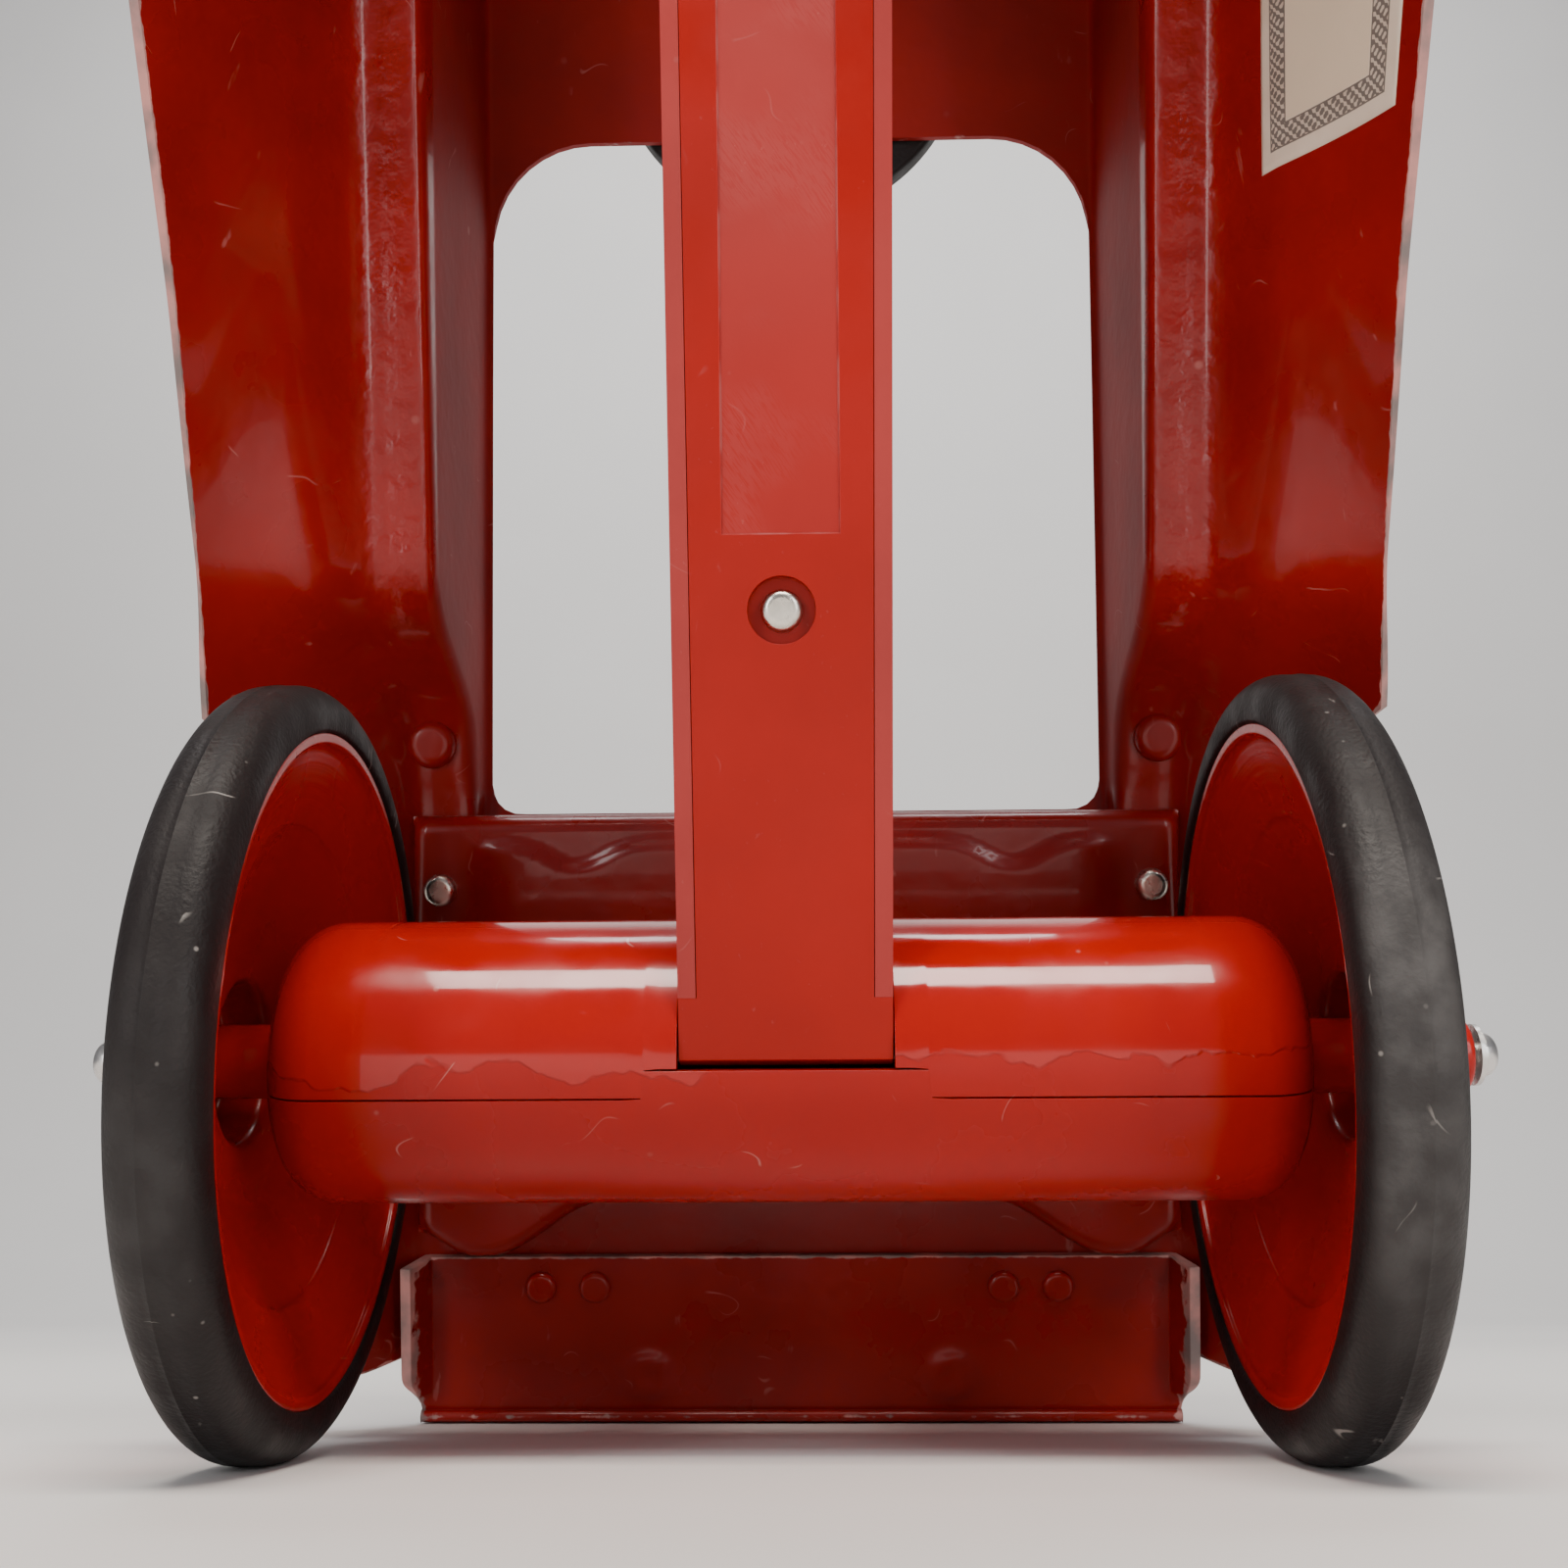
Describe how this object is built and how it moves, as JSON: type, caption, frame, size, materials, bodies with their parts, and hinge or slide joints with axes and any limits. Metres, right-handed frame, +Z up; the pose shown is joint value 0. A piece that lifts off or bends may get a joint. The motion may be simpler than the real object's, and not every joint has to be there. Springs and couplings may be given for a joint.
{
  "type": "hand truck",
  "caption": "Small hand truck with a pressed red shell frame around a window, a moulded spine and axle housing, dished wheels with rubber tyres, a toe plate and a T-handle.",
  "frame": {"origin": "the middle of the toe plate's flat underside, on the floor", "axes": "+Z up from the floor, +Y ahead from the wheels to the toe of the plate, +X along the axle to the right"},
  "size_m": [0.1848, 0.2494, 0.3641],
  "materials": {
    "shell_paint": "deep red gloss enamel on pressed sheet, worn through along the cut rims",
    "plate_paint": "deep red gloss enamel on the flat plates",
    "housing_plastic": "red moulded plastic with a high gloss",
    "spine_plastic": "red moulded plastic, satin, with fine rubbing marks",
    "wheel_plastic": "bright red moulded plastic with turning marks",
    "tyre_rubber": "black rubber, dusty on the tread",
    "screw_steel": "nickel plated screws",
    "axle_steel": "bright drawn steel",
    "bush_plastic": "natural acetal",
    "black_rubber": "black rubber with a fine grain",
    "handle_chrome": "chromed steel tube"
  },
  "bodies": {
    "truck": {"frame_shell": "shell_paint", "frame_rivets": "shell_paint", "cross_plate": "plate_paint", "toe_plate": "plate_paint", "toe_plate_rivets": "plate_paint", "cross_plate_screws": "screw_steel", "spine_channel": "spine_plastic", "spine_cover": "spine_plastic", "cover_screws": "screw_steel", "spine_top_screws": "screw_steel", "housing_upper": "housing_plastic", "housing_lower": "housing_plastic", "axle_saddle_left": "housing_plastic", "axle_saddle_right": "housing_plastic", "saddle_screws": "screw_steel", "axle_rod": "axle_steel", "axle_caps": "axle_steel", "axle_washers": "axle_steel", "axle_bush_left": "bush_plastic", "axle_bush_right": "bush_plastic", "bumper_pad": "black_rubber", "bumper_screw": "screw_steel", "handle_post": "handle_chrome", "handle_bar": "handle_chrome", "handle_tee": "housing_plastic", "grip_left": "black_rubber", "grip_right": "black_rubber", "post_screws": "screw_steel"},
    "wheel_left": {"wheel_hub_left": "wheel_plastic", "tyre_left": "tyre_rubber", "hub_bush_left": "bush_plastic"},
    "wheel_right": {"wheel_hub_right": "wheel_plastic", "tyre_right": "tyre_rubber", "hub_bush_right": "bush_plastic"}
  },
  "joints": [
    {"name": "wheel_left_spin", "type": "hinge", "parent": "truck", "child": "wheel_left", "pos_m": [-0.066, -0.10428, 0.05], "axis": [1, 0, 0], "continuous": true},
    {"name": "wheel_right_spin", "type": "hinge", "parent": "truck", "child": "wheel_right", "pos_m": [0.066, -0.10428, 0.05], "axis": [1, 0, 0], "continuous": true}
  ]
}
